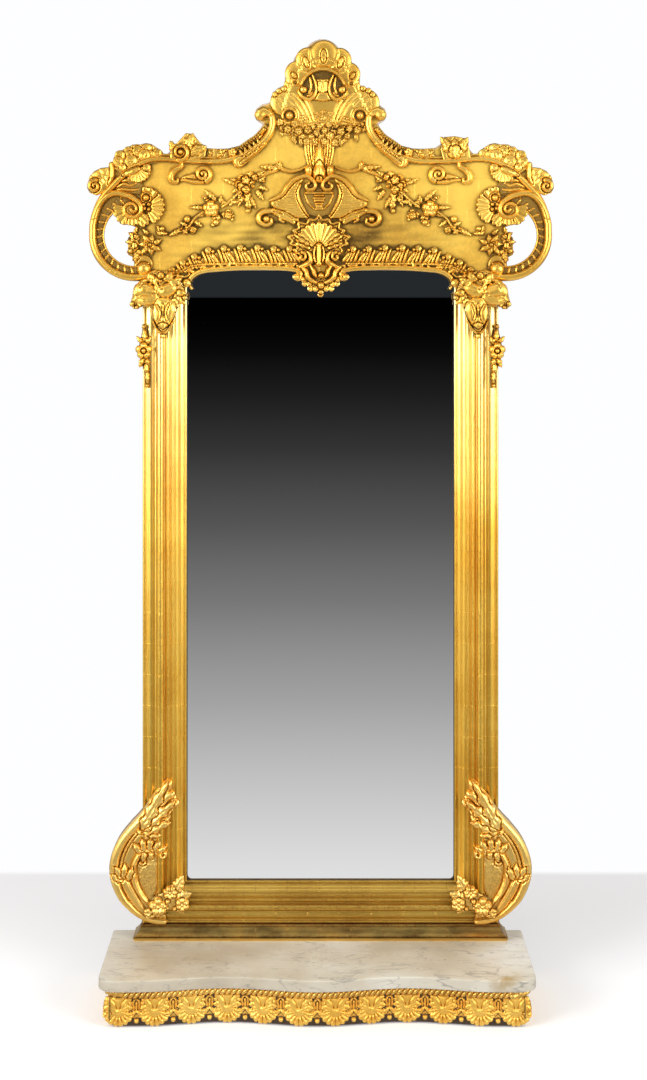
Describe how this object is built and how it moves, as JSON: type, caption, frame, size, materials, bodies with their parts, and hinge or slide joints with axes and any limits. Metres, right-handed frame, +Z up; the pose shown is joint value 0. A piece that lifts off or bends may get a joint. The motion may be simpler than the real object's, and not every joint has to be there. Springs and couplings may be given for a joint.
{
  "type": "pier mirror",
  "caption": "Tall gilded pier mirror with a carved shell crest, moulded stiles, scroll brackets at the foot, and a low serpentine base with a marble slab.",
  "frame": {"origin": "on the floor, below the middle of the bounding box", "axes": "+Z up (the longest extent), -Y towards the room, +Y towards the wall (the shortest extent), +X to the right as seen from the room"},
  "size_m": [1.22, 0.34, 2.468],
  "materials": {
    "gilt": "worn leaf gilding over carved wood and gesso",
    "bare_pine": "bare aged softwood",
    "mirror": "silvered plate glass",
    "marble": "honed marble with grey veins",
    "iron": "dull forged iron"
  },
  "bodies": {
    "root": {"mirror_plate": "mirror", "back_boards": "bare_pine", "glazing_blocks": "bare_pine", "left_stile": "gilt", "right_stile": "gilt", "left_side_strip": "gilt", "right_side_strip": "gilt", "bottom_rail": "gilt", "top_rail": "bare_pine", "foot_moulding": "gilt", "crest_board": "gilt", "crest_battens": "bare_pine", "left_c_scroll": "gilt", "right_c_scroll": "gilt", "left_top_scroll": "gilt", "right_top_scroll": "gilt", "left_ear_leaf": "gilt", "right_ear_leaf": "gilt", "left_scale_ruffle": "gilt", "right_scale_ruffle": "gilt", "left_corner_shell": "gilt", "right_corner_shell": "gilt", "left_rose": "gilt", "right_bud": "gilt", "small_shells": "gilt", "left_hanging_scroll": "gilt", "right_hanging_scroll": "gilt", "left_garland": "gilt", "right_garland": "gilt", "left_corner_flowers": "gilt", "right_corner_flowers": "gilt", "crest_shell": "gilt", "shell_cartouche": "gilt", "flower_band": "gilt", "fringe": "gilt", "tulip_bud": "gilt", "lyre_cartouche": "gilt", "palmette": "gilt", "pendant": "gilt", "left_pleated_band": "gilt", "right_pleated_band": "gilt", "left_sight_bead": "gilt", "right_sight_bead": "gilt", "left_capital": "gilt", "right_capital": "gilt", "left_side_drop": "gilt", "right_side_drop": "gilt", "left_bracket": "gilt", "right_bracket": "gilt", "left_bracket_flowers": "gilt", "right_bracket_flowers": "gilt", "marble_slab": "marble", "base_front_rail": "gilt", "base_end_rails": "gilt", "base_back_rail": "bare_pine", "base_blocks": "bare_pine", "rope_moulding": "gilt", "apron_shells": "gilt", "wall_plates": "iron", "plate_screws": "iron"}
  },
  "joints": []
}
